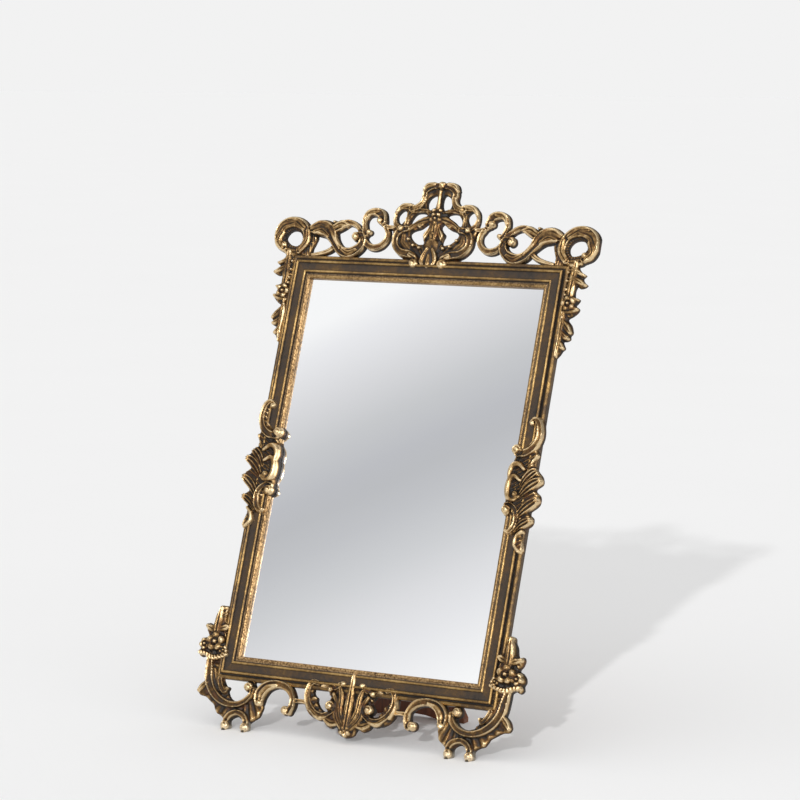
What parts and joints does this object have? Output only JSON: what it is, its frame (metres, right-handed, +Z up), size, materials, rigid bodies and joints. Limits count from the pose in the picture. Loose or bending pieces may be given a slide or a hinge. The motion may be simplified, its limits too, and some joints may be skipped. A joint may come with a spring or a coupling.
{
  "type": "table mirror",
  "caption": "Leaning rectangular table mirror in a moulded giltwood frame with a pierced rococo crest, scrolled apron and feet, held up by a hinged easel strut at the back.",
  "frame": {"origin": "on the table at the middle of the standing mirror's footprint, midway between the front of the feet and the back of the crest", "axes": "+X across the mirror to the viewer's right, -Y towards the viewer (the way the glass faces), +Z up; the frame leans back 20.75 degrees from upright"},
  "size_m": [0.3376, 0.1968, 0.4936],
  "materials": {
    "giltwood": "worn gilding over gesso, rubbed through to dark brown",
    "pine": "plain sawn softwood",
    "mahogany": "old polished reddish brown",
    "mirror_glass": "silvered plate",
    "felt": "thin dark felt",
    "brass": "dull old brass",
    "iron": "dark wrought nails"
  },
  "bodies": {
    "mirror": {"top_rail": "giltwood", "bottom_rail": "giltwood", "left_stile": "giltwood", "right_stile": "giltwood", "crest_cartouche": "giltwood", "crest_wing_left": "giltwood", "crest_wing_right": "giltwood", "leaf_drop_left": "giltwood", "leaf_drop_right": "giltwood", "side_rocaille_left": "giltwood", "side_rocaille_right": "giltwood", "corner_flower_left": "giltwood", "corner_flower_right": "giltwood", "foot_scroll_left": "giltwood", "foot_scroll_right": "giltwood", "apron_scroll_left": "giltwood", "apron_scroll_right": "giltwood", "apron_palmette": "giltwood", "mitre_splines": "pine", "crest_tongues": "pine", "mirror_glass": "mirror_glass", "backing_felt": "felt", "backboard": "mahogany", "stop_block": "mahogany", "backboard_nails": "iron", "hinge_fixed_leaf": "brass", "hinge_pin": "brass", "fixed_leaf_screws": "brass"},
    "strut": {"strut": "mahogany", "hinge_strut_leaf": "brass", "strut_leaf_screws": "brass"}
  },
  "joints": [
    {"name": "strut_hinge", "type": "hinge", "parent": "mirror", "child": "strut", "pos_m": [0, 0.02125, 0.26459], "axis": [-1, 0, 0], "range_deg": [0, 22]}
  ]
}
